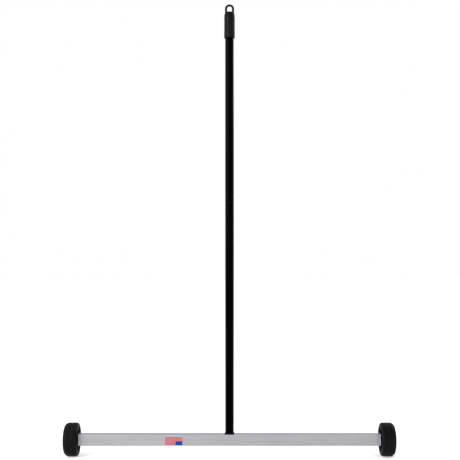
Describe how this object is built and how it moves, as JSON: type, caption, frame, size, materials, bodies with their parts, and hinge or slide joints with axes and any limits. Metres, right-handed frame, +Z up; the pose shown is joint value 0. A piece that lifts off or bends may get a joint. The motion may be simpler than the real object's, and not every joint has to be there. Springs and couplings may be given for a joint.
{
  "type": "magnetic nail sweeper",
  "caption": "Walk-behind magnetic nail sweeper: aluminium bar holding a row of block magnets, a free wheel at each end and a tall screw-in broom handle with hang-loop grip.",
  "frame": {"origin": "on the floor, centred under the handle: the middle of the wheels' contact line", "axes": "+X along the bar to the right wheel, -Y the labelled front, +Z up along the handle"},
  "size_m": [1.0094, 0.1016, 1.382],
  "materials": {
    "bar_aluminium": "satin",
    "cap_aluminium": "satin",
    "zinc_steel": "satin",
    "bar_steel": "satin",
    "ferrite": "matte",
    "foam": "matte",
    "label_film": "semi-gloss",
    "handle_plastic": "satin",
    "handle_paint": "satin",
    "grip_plastic": "satin",
    "hub_plastic": "satin",
    "tyre_rubber": "matte"
  },
  "bodies": {
    "chassis": {"housing": "bar_aluminium", "left_end_cap": "cap_aluminium", "right_end_cap": "cap_aluminium", "left_cap_screws": "zinc_steel", "right_cap_screws": "zinc_steel", "backing_bar": "bar_steel", "left_packing_strip": "foam", "right_packing_strip": "foam", "magnet_1": "ferrite", "magnet_2": "ferrite", "magnet_3": "ferrite", "magnet_4": "ferrite", "magnet_5": "ferrite", "magnet_6": "ferrite", "magnet_7": "ferrite", "magnet_8": "ferrite", "magnet_9": "ferrite", "magnet_10": "ferrite", "magnet_11": "ferrite", "magnet_12": "ferrite", "magnet_13": "ferrite", "magnet_14": "ferrite", "magnet_15": "ferrite", "magnet_16": "ferrite", "magnet_17": "ferrite", "handle_socket": "bar_steel", "socket_screws": "zinc_steel", "front_label": "label_film", "left_axle_bolt": "zinc_steel", "left_spacer": "handle_plastic", "left_washer": "zinc_steel", "right_axle_bolt": "zinc_steel", "right_spacer": "handle_plastic", "right_washer": "zinc_steel"},
    "left_wheel": {"left_hub": "hub_plastic", "left_tyre": "tyre_rubber"},
    "right_wheel": {"right_hub": "hub_plastic", "right_tyre": "tyre_rubber"},
    "handle_washer": {"base_washer": "handle_plastic"},
    "handle": {"handle_tip": "handle_plastic", "tip_rivet": "handle_paint", "handle_tube": "handle_paint", "grip": "grip_plastic"}
  },
  "joints": [
    {"name": "left_wheel_spin", "type": "hinge", "parent": "chassis", "child": "left_wheel", "pos_m": [-0.4832, 0, 0.0508], "axis": [1, 0, 0], "continuous": true},
    {"name": "right_wheel_spin", "type": "hinge", "parent": "chassis", "child": "right_wheel", "pos_m": [0.4832, 0, 0.0508], "axis": [1, 0, 0], "continuous": true},
    {"name": "handle_rise", "type": "slide", "parent": "chassis", "child": "handle_washer", "axis": [0, 0, 1], "range_m": [0, 0.01524]},
    {"name": "handle_turn", "type": "hinge", "parent": "handle_washer", "child": "handle", "pos_m": [0, 0, 0.07], "axis": [0, 0, 1], "range_deg": [0, 1080.01]}
  ],
  "couplings": [
    {"joint": "handle_turn", "follows": "handle_rise", "rad_per_m": 1236.8}
  ]
}
